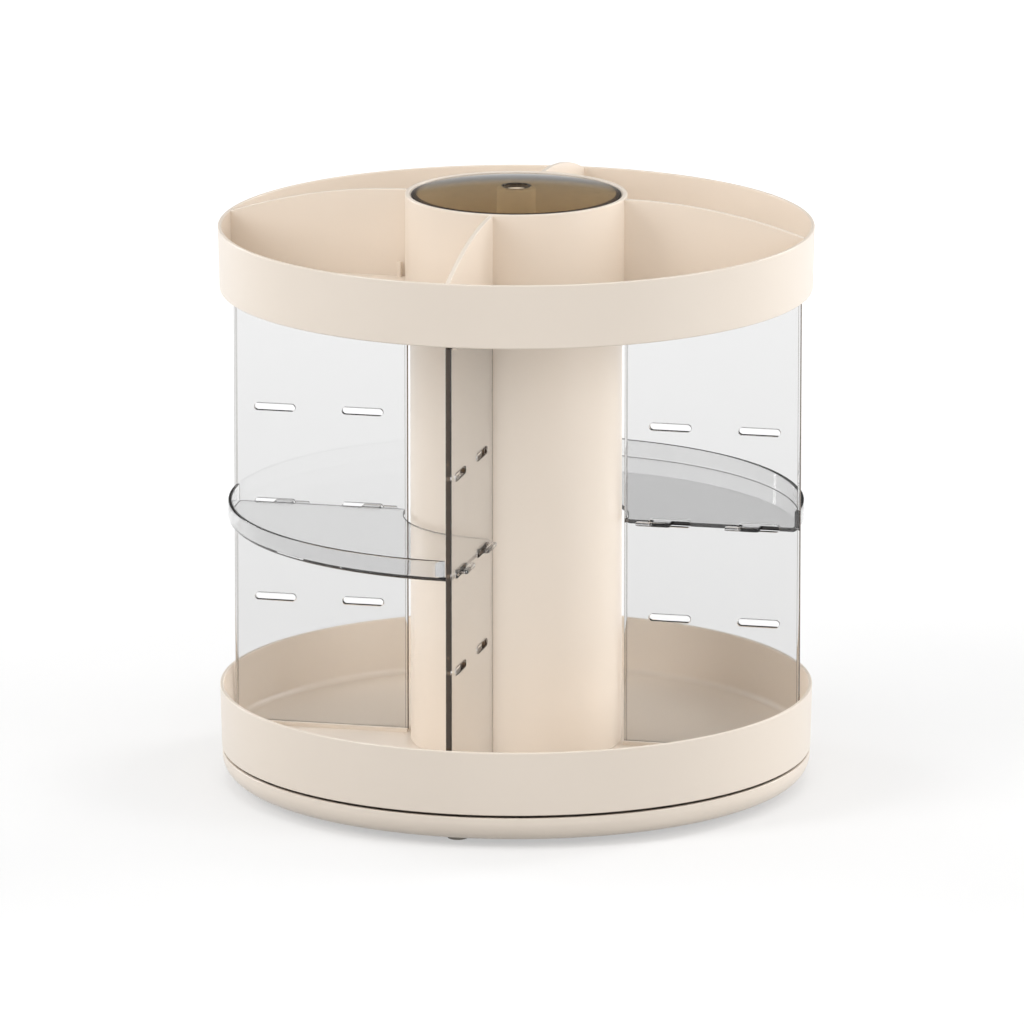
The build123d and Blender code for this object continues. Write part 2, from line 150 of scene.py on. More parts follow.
class OrganiserTrays(bpy.types.PropertyGroup):
    """Sizes of the lower and the upper tray."""
    radius: length("Radius", "Outer radius at both rims", TRAY_REACH)
    draft: length("Draft", "How much narrower a tray is at its underside", 0.7 * MM)
    wall: length("Wall", "Wall thickness", 1.6 * MM)
    foot_fillet: length("Foot fillet", "Inside fillet where the wall meets the floor", 3 * MM)
    rim_round: length("Rim round", "Rounding of the rims", 0.55 * MM)
    floor: length("Lower floor", "Floor thickness of the lower tray", 2.3 * MM)
    floor_top: length("Lower floor top", "Height of the lower tray's floor", TRAY_FLOOR)
    rim: length("Lower rim", "Height of the lower tray's rim", TRAY_RIM)
    upper_floor: length("Upper floor", "Floor thickness of the upper tray", 2.4 * MM)
    upper_under: length(
        "Upper underside", "Height of the upper tray's underside", PANEL_TOP + 0.1 * MM,
    )
    upper_height: length("Upper height", "Underside to rim of the upper tray", 27.9 * MM)
    upper_corner: length("Upper corner", "Rounding of the lower outer edge", 0.8 * MM)
    rail_width: length("Rail width", "Width of a rail beside a panel", 1.6 * MM)
    rail_height: length("Rail height", "Height of a rail", 1.7 * MM)
    rail_spread: length("Rail spread", "Middle of a rail from the middle of its panel", 2.2 * MM)
    hub_bore: length("Hub bore", "Radius of the hole that holds the pivot bush", 10.55 * MM)
    hub_radius: length("Hub radius", "Outer radius of the hub", 13.05 * MM)
    hub_drop: length("Hub drop", "How far the hub hangs below the floor", 4.4 * MM)
    divider: length("Divider", "Thickness of a divider", 2 * MM)
    divider_round: length("Divider round", "Rounding of a divider's edges", 0.35 * MM)
    catch_size: length("Catch size", "Side of the small square post beside the cup", 1.8 * MM)
    catch_height: length("Catch height", "Height of that post over the floor", 6.7 * MM)
    catch_out: length("Catch out", "Middle of the post from the sleeve", 3.4 * MM)
    catch_side: length("Catch side", "Middle of the post from the middle of its divider", 3 * MM)


class OrganiserCup(bpy.types.PropertyGroup):
    """Sizes of the column, the cup on top of it and the lid."""
    column_radius: length("Column radius", "Outer radius of the column", COLUMN_REACH)
    lower_wall: length("Lower wall", "Wall of the column below the cup", 2.4 * MM)
    upper_wall: length("Upper wall", "Wall of the column round the cup", 1.6 * MM)
    column_top: length("Column top", "Height of the top of the column", COLUMN_TOP)
    sleeve_gap: length("Sleeve gap", "Column to the bore of the sleeve", 0.1 * MM)
    sleeve_wall: length("Sleeve wall", "Wall of the sleeve", 2 * MM)
    sleeve_top: length("Sleeve top", "Height of the top of the sleeve", SLEEVE_TOP)
    floor_under: length("Cup floor underside", "Height of the cup floor's underside", CUP_UNDER)
    floor_thickness: length("Cup floor", "Thickness of the cup floor", 2 * MM)
    floor_radius: length("Cup floor radius", "Radius of the cup floor", CUP_REACH)
    post_radius: length("Post radius", "Radius of the post in the cup", 8.45 * MM)
    post_wall: length("Post wall", "Wall of the post", 1.6 * MM)
    post_top: length("Post top", "Height of the top of the post", POST_TOP)
    lid_radius: length("Lid radius", "Radius of the lid", LID_REACH)
    lid_seat: length("Lid seat", "Height of the seat of the lid", LID_SEAT)
    lid_rise: length("Lid rise", "Seat to the crown of the lid", 5.7 * MM)
    lid_thickness: length("Lid thickness", "Thickness of the lid", 2 * MM)
    lid_land: length("Lid land", "Flat ring under the lid's edge", 1.4 * MM)
    lid_hole: length("Lid hole", "Radius of the hole in the lid", 5.85 * MM)
    lid_round: length("Lid round", "Rounding of the lid's upper edge", 0.5 * MM)


class OrganiserPanels(bpy.types.PropertyGroup):
    """Sizes of the upright clear panels and their slots."""
    thickness: length("Thickness", "Thickness of a panel", 2.6 * MM)
    inner: length("Inner edge", "Radius of a panel's inner edge", COLUMN_REACH + 2.3 * MM)
    outer: length("Outer edge", "Radius of a panel's outer edge", PANEL_REACH)
    foot: length("Foot", "Height of a panel's lower edge", PANEL_FOOT)
    top: length("Top", "Height of a panel's upper edge", PANEL_TOP)
    foot_corner: length("Foot corner", "Corner over the fillet of the tray", 3.7 * MM)
    corner: length("Corner", "The other corners", 1.2 * MM)
    edge_round: length("Edge round", "Rounding of the long edges", 1.05 * MM)
    slot_length: length("Slot length", "Length of a slot", 18.4 * MM)
    slot_width: length("Slot width", "Height of a slot", 3 * MM)
    slot_round: length("Slot round", "Rounding of a slot's edges", 0.3 * MM)
    inner_slots: length("Inner slots", "Radius of the middle of the inner slots", 69.1 * MM)
    outer_slots: length("Outer slots", "Radius of the middle of the outer slots", 108.8 * MM)
    first_slots: length("First slots", "Height of the lowest slots", 75.3 * MM)
    slot_pitch: length("Slot pitch", "One level of slots to the next", 42.75 * MM)
    slot_levels: IntProperty(
        name="Slot levels", description="Number of levels of slots", default=3, min=1,
    )


class OrganiserShelves(bpy.types.PropertyGroup):
    """Sizes of the clear quarter-round shelves and their hooks."""
    underside: length("Underside", "Height of a shelf's underside", SHELF_UNDER)
    height: length("Height", "Underside to the top of the wall", 9.3 * MM)
    floor: length("Floor", "Thickness of the floor and the hooks", 1.8 * MM)
    wall: length("Wall", "Thickness of the wall", 1.7 * MM)
    inner: length("Inner radius", "Radius of the inner edge", COLUMN_REACH + 3 * MM)
    outer: length("Outer radius", "Radius of the wall", PANEL_REACH - 1.2 * MM)
    edge: length("Edge", "Straight edge from the middle of its panel", 1.7 * MM)
    heel: length("Heel", "Rounding of the lower outer edge", 2.4 * MM)
    outer_corner: length("Outer corner", "Rounding of the outer corners", 3 * MM)
    inner_corner: length("Inner corner", "Rounding of the inner corners", 2.4 * MM)
    rim_round: length("Rim round", "Rounding of the top of the wall", 0.5 * MM)
    hook_start: length("Hook start", "Hook neck from the middle of its slot, inward", 7.9 * MM)
    hook_neck: length("Hook neck", "Width of a hook's neck", 8.4 * MM)
    hook_nose: length("Hook nose", "End of the nose from the neck", 7 * MM)
    hook_back: length("Hook back", "Near side of the nose, behind the panel's middle", 1.6 * MM)
    hook_width: length("Hook width", "Width of the nose", 2.6 * MM)
    hook_round: length("Hook round", "Rounding of the nose's corners", 1.2 * MM)


class OrganiserFinish(bpy.types.PropertyGroup):
    """Colours of the finishes."""
    cream: colour("Cream", "Moulded cream plastic", "#eee2d4")
    clear: colour("Clear", "Clear panels", "#e4e4e4")
    # Painted shade: the clear panels' rim colour stands in for their dark look where an edge is
    # looked into.
    edge: colour("Clear edges", "Polished edges of the clear panels", "#54402e")
    # Painted shade: the shelves' edge colour, near black where their edges look dark.
    shelf_edges_painted_shade: colour("Dark edges", "Edges of the clear shelves", "#17120e")
    shelf: colour("Clear shelf", "Floors and walls of the clear shelves", "#ebebeb")
    smoke: colour("Smoke", "Smoke-clear lid", "#b8a581")
    # Painted shade: the lid's edge colour, for its dark look where the edge is looked into.
    lid_edge_painted_shade: colour("Smoke edge", "Edge of the lid", "#3c332c")
    rubber: colour("Rubber", "Feet", "#b9b2a6")
    steel: colour("Steel", "Zinc-plated screws and washer", "#c3c4c6")
    ball: colour("Balls", "Polished bearing balls", "#d6d7d9")
    bearing: colour("Bearing plastic", "Ball cage and pivot bush", "#eeeeea")
    floor: colour("Floor", "Floor of the stage", "#bdbdbd")


# ---------------------------------------------------------------- finishes
def add_node(tree, kind, settings=None, links=()):
    """Add a node to a tree, set its properties and sockets by name, and link others into it.

    A setting whose name is a socket fills that socket, and any other sets the node itself. A link
    is (socket of the new node, node to come from, its socket).
    """
    node = tree.nodes.new(kind)
    for name, value in (settings or {}).items():
        if isinstance(name, int) or name in node.inputs:
            node.inputs[name].default_value = value
        else:
            setattr(node, name, value)
    for socket, source, output in links:
        tree.links.new(source.outputs[output], node.inputs[socket])
    return node


def empty_tree(holder):
    """The node tree of a material or world, with nothing in it."""
    holder.use_nodes = True
    holder.node_tree.nodes.clear()
    return holder.node_tree


def per_metre(size_mm):
    """Noise scale at which one bump of the pattern is this many millimetres across."""
    return 1 / (size_mm * MM)


def grained(name, tone, shader, grain_mm, roughness, bump, tint=0.0, patch_mm=45):
    """A finish with fine grain: bump from noise of one grain size, roughness from larger patches.

    Roughness runs between its two limits over patches of patch_mm, and the colour varies by the
    tint, up and down, over the same patches. The bump is its strength and its height in mm.
    """
    tone = tuple(tone)
    tree = empty_tree(bpy.data.materials.new(name))
    place = add_node(tree, "ShaderNodeTexCoord")
    grain = add_node(
        tree, "ShaderNodeTexNoise", {"Scale": per_metre(grain_mm), "Detail": 3.0},
        [("Vector", place, "Object")],
    )
    patches = add_node(
        tree, "ShaderNodeTexNoise", {"Scale": per_metre(patch_mm), "Detail": 2.0, "Roughness": 0.4},
        [("Vector", place, "Object")],
    )
    gloss = add_node(
        tree, "ShaderNodeMapRange",
        {"From Min": 0.2, "From Max": 0.8, "To Min": roughness[0], "To Max": roughness[1]},
        [("Value", patches, "Fac")],
    )
    relief = add_node(
        tree, "ShaderNodeBump", {"Strength": bump[0], "Distance": bump[1] * MM},
        [("Height", grain, "Fac")],
    )
    surface = add_node(
        tree, "ShaderNodeBsdfPrincipled", {"Base Color": tone, **shader},
        [("Roughness", gloss, "Result"), ("Normal", relief, "Normal")],
    )
    if tint:
        level = add_node(
            tree, "ShaderNodeMapRange", {"To Min": 1 - tint, "To Max": 1 + tint},
            [("Value", patches, "Fac")],
        )
        shade = add_node(
            tree, "ShaderNodeHueSaturation", {"Color": tone}, [("Value", level, "Result")],
        )
        tree.links.new(shade.outputs["Color"], surface.inputs["Base Color"])
    add_node(tree, "ShaderNodeOutputMaterial", {}, [("Surface", surface, "BSDF")])


def make_finishes(colours):
    """Make every finish of the organiser, as a material of its name."""
    # Injection-moulded ABS from a satin tool: soft broad highlights, an even warm cream,
    # and a grain too fine to see, drawn at half a millimetre.
    grained(
        "moulded_cream_abs", colours.cream, {"IOR": 1.53, "Specular IOR Level": 0.5},
        0.5, (0.29, 0.35), (0.12, 0.012), tint=0.012,
    )
    # Moulded clear polystyrene with a grey cast, and the same in the thinner sheet of the
    # shelves: glass-like, with a slightly uneven gloss.
    for name, tone in (
        ("clear_polystyrene", colours.clear), ("clear_polystyrene_shelf", colours.shelf),
    ):
        grained(
            name, tone, {"IOR": 1.49, "Transmission Weight": 1.0},
            14, (0.012, 0.035), (0.02, 0.02),
        )
    # Painted shade on its rims, where the light has run through the length of the sheet, and on
    # the edges of a shelf, which face down or away, so next to no light comes out of them.
    for name, tone, passing in (
        ("clear_polystyrene_rim_painted_shade", colours.edge, 0.5),
        ("clear_polystyrene_shelf_edge_painted_shade", colours.shelf_edges_painted_shade, 0.3),
    ):
        grained(
            name, tone, {"IOR": 1.49, "Transmission Weight": passing},
            6, (0.05, 0.09), (0.03, 0.02),
        )
    # Moulded smoke-clear lid: warm grey, high gloss, and painted shade where its edge is looked
    # into.
    grained(
        "smoke_polystyrene", colours.smoke,
        {"IOR": 1.45, "Transmission Weight": 1.0, "Specular IOR Level": 0.2},
        14, (0.015, 0.04), (0.02, 0.02),
    )
    grained(
        "smoke_polystyrene_painted_shade_edge", colours.lid_edge_painted_shade, {"IOR": 1.49, "Transmission Weight": 0.6},
        6, (0.06, 0.12), (0.03, 0.02),
    )
    # Moulded translucent rubber: dull, a little milky.
    grained(
        "moulded_rubber", colours.rubber, {"IOR": 1.5, "Transmission Weight": 0.25},
        0.4, (0.55, 0.7), (0.2, 0.02), tint=0.03, patch_mm=3,
    )
    # Bright zinc-plated steel: fine even satin.
    grained(
        "zinc_plated_steel", colours.steel, {"Metallic": 1.0},
        0.3, (0.29, 0.38), (0.08, 0.01), tint=0.04, patch_mm=2.5,
    )
    # Ground and polished bearing steel: mirror-like.
    grained(
        "polished_ball_steel", colours.ball, {"Metallic": 1.0},
        0.8, (0.05, 0.1), (0.01, 0.01), tint=0.02, patch_mm=2,
    )
    # Moulded white acetal: smooth, slightly waxy.
    grained(
        "moulded_white_acetal", colours.bearing, {"IOR": 1.48},
        0.6, (0.32, 0.45), (0.1, 0.01), tint=0.01, patch_mm=8,
    )


def finish_of(name):
    """The finish of this name; the finishes are made once, at the first call."""
    if name not in bpy.data.materials:
        make_finishes(bpy.context.scene.organiser_finish)
    return bpy.data.materials[name]


# ---------------------------------------------------------------- sections, grids and meshes
def rounded(corners):
    """Closed outline through corners (across, up, rounding).

    A corner with a rounding becomes the arc that touches both its sides: the centre lies on the
    bisector at rounding / sin(half the angle), and the arc's points turn evenly from one point of
    contact to the other.
    """
    corners = np.array(corners, float)
    places, roundings = corners[:, :2], corners[:, 2]
    outline = []
    for at, rounding in enumerate(roundings):
        place = places[at]
        if rounding == 0:
            outline.append(place[None])
            continue
        back, ahead = places[at - 1] - place, places[(at + 1) % len(places)] - place
        back, ahead = back / np.linalg.norm(back), ahead / np.linalg.norm(ahead)
        half = math.acos(float(back @ ahead)) / 2
        middle = (back + ahead) / np.linalg.norm(back + ahead)
        centre = place + middle * rounding / math.sin(half)
        touch = rounding / math.tan(half)
        start, end = place + back * touch - centre, place + ahead * touch - centre
        sweep = math.pi - 2 * half
        steps = max(2, math.ceil(sweep / (2 * math.acos(1 - ARC_ERROR / rounding))))
        share = np.linspace(0, 1, steps + 1)[:, None]
        arc = (start * np.sin((1 - share) * sweep) + end * np.sin(share * sweep)) / math.sin(sweep)
        outline.append(centre + arc)
    return np.concatenate(outline)


def grid_faces(rows, columns, wrap_rows, wrap_columns):
    """Corner numbers of the squares between neighbouring points of a grid, row by row."""
    numbers = np.arange(rows * columns).reshape(rows, columns)
    if wrap_rows:
        numbers = np.concatenate([numbers, numbers[:1]])
    if wrap_columns:
        numbers = np.concatenate([numbers, numbers[:, :1]], 1)
    return np.stack(
        [numbers[:-1, :-1], numbers[1:, :-1], numbers[1:, 1:], numbers[:-1, 1:]], -1
    ).reshape(-1, 4)


def turned(section, turns=TURNS):
    """Surface of revolution: a section point (r, z) at angle a lies at (r cos a, r sin a, z)."""
    angle = np.arange(turns)[:, None] * (2 * math.pi / turns)
    radius, height = section.T
    across, deep = np.cos(angle) * radius, np.sin(angle) * radius
    points = np.stack([across, deep, np.broadcast_to(height, across.shape)], -1)
    return points.reshape(-1, 3), grid_faces(turns, len(section), True, True)


def line(across, up):
    """Section points from two rows of numbers, either of which may be one number for all."""
    return np.stack(np.broadcast_arrays(across, up), 1)


def crown(top, run, low, stations):
    """Section points of the arc that is level at the top, at station 0, and falls to low at the
    run: its radius is (run^2 + drop^2) / (2 * drop)."""
    drop = top - low
    radius = (run ** 2 + drop ** 2) / (2 * drop)
    return line(stations, top - radius + np.sqrt(radius ** 2 - stations ** 2))


def inset(outline, depth):
    """The outline moved to its left by depth: each point goes along the mean of the two sides'
    normals, lengthened so that both sides move by depth."""
    side = np.roll(outline, -1, 0) - outline
    side /= np.linalg.norm(side, axis=1, keepdims=True)
    normal = np.stack([-side[:, 1], side[:, 0]], 1)
    before = np.roll(normal, 1, 0)
    shift = (before + normal) / (1 + (before * normal).sum(1, keepdims=True))
    return outline + shift * depth


def plate(outline, holes, thickness, edge_round, hole_round, origin, across, up, shade_line_width=0):
    """Flat plate with rounded rims, in the plane through origin along across and up.

    Outline and holes are closed (across, up) outlines with the material on their left. A rim is
    the outline carried through a half-round-cornered section: at turn t of the arc it is inset by
    rounding * (1 - cos t) and stands rounding * sin t from the arc's centre. The two faces are the
    flat region between the rims. With a line width, a line of painted shade runs inside the
    outer rim.
    """
    across, up = np.array(across, float), np.array(up, float)
    normal = np.cross(across, up)
    points, faces, parts, count = [], [], [], 0
    caps = ([], [])
    for loop, rounding in [(outline, edge_round)] + [(hole, hole_round) for hole in holes]:
        steps = 4 if rounding > FINE_RIM else 2
        turn = np.linspace(0, QUARTER, steps + 1)
        depth = rounding * (1 - np.cos(turn))
        stand = thickness / 2 - rounding + rounding * np.sin(turn)
        if shade_line_width and loop is outline:
            depth = np.concatenate([depth, [rounding + shade_line_width]])
            stand = np.concatenate([stand, stand[-1:]])
        depths, stands = np.concatenate([depth[::-1], depth]), np.concatenate([-stand[::-1], stand])
        rings = np.stack([inset(loop, each) for each in depths])
        flat = rings[..., :1] * across + rings[..., 1:] * up + stands[:, None, None] * normal
        points.append(flat.reshape(-1, 3))
        faces.append(grid_faces(len(depths), len(loop), False, True) + count)
        # The painted shade strips of a clear rim: its middle, and the line inside it on both faces.
        shaded_strips = np.zeros(len(depths) - 1, int)
        if loop is outline:
            middle = len(depth) - 1
            shaded_strips[[0, *range(middle - steps // 2, middle + steps // 2 + 1), -1]] = 1
        parts.append(np.repeat(shaded_strips, len(loop)))
        caps[0].append((rings[0], count))
        caps[1].append((rings[-1], count + (len(depths) - 1) * len(loop)))
        count += len(depths) * len(loop)
    for number, cap in enumerate(caps):
        loops = [[Vector((*place, 0)) for place in ring] for ring, _ in cap]
        triangles = np.array(tessellate_polygon(loops))
        numbers = np.concatenate([np.arange(len(ring)) + first for ring, first in cap])
        flat = numbers[triangles]
        places = np.concatenate([ring for ring, _ in cap])
        a, b, c = (places[triangles[:, at]] for at in range(3))
        turning = (b - a)[:, 0] * (c - a)[:, 1] - (b - a)[:, 1] * (c - a)[:, 0]
        flip = (turning < 0) == (number == 1)
        flat[flip] = flat[flip][:, ::-1]
        faces.append(np.concatenate([flat, flat[:, 2:]], 1))
        parts.append(np.zeros(len(flat), int))
    points = np.concatenate(points) + np.array(origin, float)
    # The rims face away from the middle of the plate, or all of them are turned over.
    a, b, c = (points[faces[0][:, at]] for at in range(3))
    away = a - points[:len(outline)].mean(0)
    if (np.cross(b - a, c - a) * away).sum() < 0:
        faces[:1 + len(holes)] = [squares[:, ::-1] for squares in faces[:1 + len(holes)]]
    return points, np.concatenate(faces), np.concatenate(parts)


def outward(points, faces):
    """The faces, turned over if the volume that they enclose comes out negative."""
    a, b, c, d = (points[faces[:, at]] for at in range(4))
    volume = (a * (np.cross(b, c) + np.cross(c, d))).sum()
    return faces if volume > 0 else faces[:, ::-1]


def mesh_from(name, shells):
    """One mesh from closed shells (points, faces, finish number of each face).

    Points that coincide are merged, corners that repeat the one before them are dropped, and
    so is a face left with fewer than three.
    """
    points, faces, parts, count = [], [], [], 0
    for shell_points, shell_faces, shell_parts in shells:
        points.append(shell_points)
        faces.append(outward(shell_points, shell_faces) + count)
        parts.append(np.broadcast_to(shell_parts, len(shell_faces)))
        count += len(shell_points)
    points, faces, parts = np.concatenate(points), np.concatenate(faces), np.concatenate(parts)
    _, first, merged = np.unique(
        np.round(points / WELD), axis=0, return_index=True, return_inverse=True,
    )
    points, faces = points[first], merged.reshape(-1)[faces]
    kept = faces != np.roll(faces, 1, 1)
    solid = kept.sum(1) >= 3
    faces, kept, parts = faces[solid], kept[solid], parts[solid]
    sizes = kept.sum(1)
    mesh = bpy.data.meshes.new(name)
    mesh.vertices.add(len(points))
    mesh.vertices.foreach_set("co", points.astype(np.float32).ravel())
    mesh.loops.add(int(sizes.sum()))
    mesh.loops.foreach_set("vertex_index", faces[kept].astype(np.int32))
    mesh.polygons.add(len(sizes))
    mesh.polygons.foreach_set("loop_start", (np.cumsum(sizes) - sizes).astype(np.int32))
    mesh.polygons.foreach_set("material_index", parts.astype(np.int32))
    mesh.update(calc_edges=True)
    if mesh.validate(verbose=False):
        raise RuntimeError(f"{name} has faulty faces")
    return mesh


def finished_piece(name, mesh, finishes, body, node):
    """The object of a mesh whose faces take the finishes by number: it shades smoothly but for
    sharp edges, rides on the body and stands for the CAD node."""
    mesh.name = name
    for finish in finishes:
        mesh.materials.append(finish_of(finish))
    mesh.polygons.foreach_set("use_smooth", np.ones(len(mesh.polygons), bool))
    mesh.set_sharp_from_angle(angle=SHARP_EDGE)
    piece = bpy.data.objects.new(name, mesh)
    bpy.context.scene.collection.objects.link(piece)
    weighting = piece.modifiers.new("Flat faces stay flat", "WEIGHTED_NORMAL")
    weighting.mode = "FACE_AREA_WITH_ANGLE"
    weighting.keep_sharp = True
    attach(piece, body)
    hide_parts(node)
    return piece


def cream_piece(name, shells, body, node):
    """A piece of moulded cream plastic, from closed shells."""
    mesh = mesh_from(name, [(points, faces, 0) for points, faces, *_ in shells])
    return finished_piece(name, mesh, ["moulded_cream_abs"], body, node)


def clear_piece(name, mesh, finish, edge_shade_finish, body, node):
    """A piece of clear plastic whose edges take a finish of painted shade; light passes it."""
    piece = finished_piece(name, mesh, [finish, edge_shade_finish], body, node)
    piece.visible_shadow = False
    return piece


def rows_of(items, name):
    """A property of all points or faces of a mesh, as rows of three numbers."""
    values = np.zeros(len(items) * 3)
    items.foreach_get(name, values)
    return values.reshape(-1, 3)


def spoke(number):
    """Directions of panel line number: outward from the axis, and to its left."""
    angle = number * QUARTER
    return (
        np.round([math.cos(angle), math.sin(angle), 0.0], 12),
        np.round([-math.sin(angle), math.cos(angle), 0.0], 12),
    )


def rectangle(low, high, bottom, top):
    """Sharp-cornered outline of a rectangle, anticlockwise."""
    return np.array([(low, bottom), (high, bottom), (high, top), (low, top)], float)


def rails(trays, inner, outer, bottom, top):
    """Two low rails beside each panel, as upright plates along the panel's line."""
    shells = []
    for number in range(len(PANELS)):
        out, left = spoke(number)
        for side in (-1, 1):
            outline = rectangle(inner, outer, bottom, top)
            shells.append(plate(
                outline, [], trays.rail_width, CRISP, 0,
                left * side * trays.rail_spread, out, (0, 0, 1),
            ))
    return shells


def ball_track(base, floor, face, side):
    """Section corners of a raised ball track with its groove, from the axis outward where side is
    1 and inward where it is -1. It stands on the floor's height and ends at the face's."""
    middle, half, groove = base.race_radius, side * base.race_width / 2, side * base.groove_half
    sunk = math.copysign(base.groove_depth, floor - face)
    return [
        (middle - half, floor, STEP),
        (middle - half, face, MOULDED),
        (middle - groove, face, 0),
        (middle, face + sunk, base.groove_round),
        (middle + groove, face, 0),
        (middle + half, face, MOULDED),
        (middle + half, floor, STEP),
    ]


class ORGANISER_OT_base(bpy.types.Operator):
    """Make the base and its rubber feet"""
    bl_idname = "organiser.base"
    bl_label = "Base"

    def execute(self, context):
        base = context.scene.organiser_base
        top = base.underside + base.height
        floor_top = base.underside + base.wall
        section = rounded([
            (0, base.underside, 0),
            (base.radius, base.underside, base.roll),
            (base.radius, top, base.rim_round),
            (base.radius - base.wall, top, base.rim_round),
            (base.radius - base.wall, floor_top, base.roll - base.wall),
            *ball_track(base, floor_top, base.race_height - base.race_gap, -1),
            (base.spigot_radius, floor_top, STEP),
            (base.spigot_radius, base.spigot_top, MOULDED),
            (0, base.spigot_top, 0),
        ])
        cream_piece("base_body", [turned(section)], "base", "base_shell")
        foot_top = base.underside + base.foot_recess
        points, faces = turned(rounded([
            (0, 0, 0),
            (base.foot_radius, 0, base.foot_round),
            (base.foot_radius, foot_top, CRISP),
            (0, foot_top, 0),
        ]), 48)
        feet = mesh_from("feet", [
            (points + spoke(number)[0] * base.foot_circle, faces, 0)
            for number in range(len(PANELS))
        ])
        finished_piece("feet", feet, ["moulded_rubber"], "base", "rubber_feet")
        return {"FINISHED"}


class ORGANISER_OT_lower_tray(bpy.types.Operator):
    """Make the lower tray with its rails"""
    bl_idname = "organiser.lower_tray"
    bl_label = "Lower tray"

    def execute(self, context):
        trays, base = context.scene.organiser_trays, context.scene.organiser_base
        under = trays.floor_top - trays.floor
        foot_radius = trays.radius - trays.draft
        inner_foot = foot_radius - trays.wall
        section = rounded([
            (trays.hub_bore, under - trays.hub_drop, 0),
            (trays.hub_radius, under - trays.hub_drop, MOULDED),
            (trays.hub_radius, under, STEP),
            *ball_track(base, under, base.race_height + base.race_gap, 1),
            (foot_radius, under, trays.rim_round),
            (trays.radius, trays.rim, trays.rim_round),
            (trays.radius - trays.wall, trays.rim, trays.rim_round),
            (inner_foot, trays.floor_top, trays.foot_fillet),
            (trays.hub_bore, trays.floor_top, 0),
        ])
        low_rails = rails(
            trays, context.scene.organiser_panels.inner, inner_foot - trays.foot_fillet,
            trays.floor_top - SUNK, trays.floor_top + trays.rail_height,
        )
        cream_piece("lower_tray", [turned(section), *low_rails], "carousel", "bottom_tray")
        return {"FINISHED"}


class ORGANISER_OT_column(bpy.types.Operator):
    """Make the column and the cup floor with its post"""
    bl_idname = "organiser.column"
    bl_label = "Column and cup"

    def execute(self, context):
        cup, trays = context.scene.organiser_cup, context.scene.organiser_trays
        lower_bore = cup.column_radius - cup.lower_wall
        upper_bore = cup.column_radius - cup.upper_wall
        section = rounded([
            (lower_bore, trays.floor_top, 0),
            (cup.column_radius, trays.floor_top, MOULDED),
            (cup.column_radius, cup.column_top, MOULDED),
            (upper_bore, cup.column_top, MOULDED),
            (upper_bore, cup.floor_under, 0),
            (lower_bore, cup.floor_under, 0),
        ])
        cream_piece("column", [turned(section)], "carousel", "column_tube")
        floor_top = cup.floor_under + cup.floor_thickness
        post_bore = cup.post_radius - cup.post_wall
        section = rounded([
            (post_bore, cup.floor_under, MOULDED),
            (cup.floor_radius, cup.floor_under, MOULDED),
            (cup.floor_radius, floor_top, MOULDED),
            (cup.post_radius, floor_top, trays.rim_round),
            (cup.post_radius, cup.post_top, trays.rim_round),
            (0, cup.post_top, 0),
            (0, cup.post_top - cup.post_wall, 0),
            (post_bore, cup.post_top - cup.post_wall, MOULDED),
        ])
        cream_piece("cup_post", [turned(section, TURNS // 2)], "carousel", "cup_floor")
        return {"FINISHED"}


class ORGANISER_OT_upper_tray(bpy.types.Operator):
    """Make the upper tray with its sleeve, arched dividers, posts and rails"""
    bl_idname = "organiser.upper_tray"
    bl_label = "Upper tray"

    def execute(self, context):
        trays, cup = context.scene.organiser_trays, context.scene.organiser_cup
        under, floor_top = trays.upper_under, trays.upper_under + trays.upper_floor
        rim = under + trays.upper_height
        foot_radius = trays.radius - trays.draft
        inner_foot = foot_radius - trays.wall
        bore = cup.column_radius + cup.sleeve_gap
        sleeve = bore + cup.sleeve_wall
        lip = cup.column_radius - cup.upper_wall
        section = rounded([
            (bore, under, CRISP),
            (foot_radius, under, trays.upper_corner),
            (trays.radius, rim, trays.rim_round),
            (trays.radius - trays.wall, rim, trays.rim_round),
            (inner_foot, floor_top, trays.foot_fillet),
            (sleeve, floor_top, trays.rim_round),
            (sleeve, cup.sleeve_top, trays.rim_round),
            (bore, cup.sleeve_top, trays.rim_round),
            (bore, cup.lid_seat, CRISP),
            (lip, cup.lid_seat, CRISP),
            (lip, cup.column_top, CRISP),
            (bore, cup.column_top, 0),
        ])
        shells = [turned(section)]
        wall_middle, sleeve_middle = trays.radius - trays.wall / 2, sleeve - cup.sleeve_wall / 2
        # A divider's top leaves the sleeve level and falls in an arc to the wall at rim height.
        crest, low_end = cup.sleeve_top - trays.rim_round, rim - trays.rim_round
        run = wall_middle - sleeve
        outline = np.concatenate([
            [(sleeve_middle, floor_top - MM), (wall_middle, floor_top - MM)],
            crown(crest, run, low_end, np.linspace(run, 0, 49)) + (sleeve, 0),
            [(sleeve_middle, crest)],
        ])
        catch, half = sleeve + trays.catch_out, trays.catch_size / 2
        post = rectangle(catch - half, catch + half, floor_top - MM, floor_top + trays.catch_height)
        for number in range(len(PANELS)):
            out, left = spoke(number)
            shells.append(plate(
                outline, [], trays.divider, trays.divider_round, 0, (0, 0, 0), out, (0, 0, 1),
            ))
            shells.append(plate(
                post, [], trays.catch_size, CRISP, 0, left * trays.catch_side, out, (0, 0, 1),
            ))
        shells += rails(
            trays, context.scene.organiser_panels.inner, inner_foot - trays.foot_fillet,
            under - trays.rail_height, under + SUNK,
        )
        cream_piece("upper_tray", shells, "carousel", "top_tray")
        return {"FINISHED"}


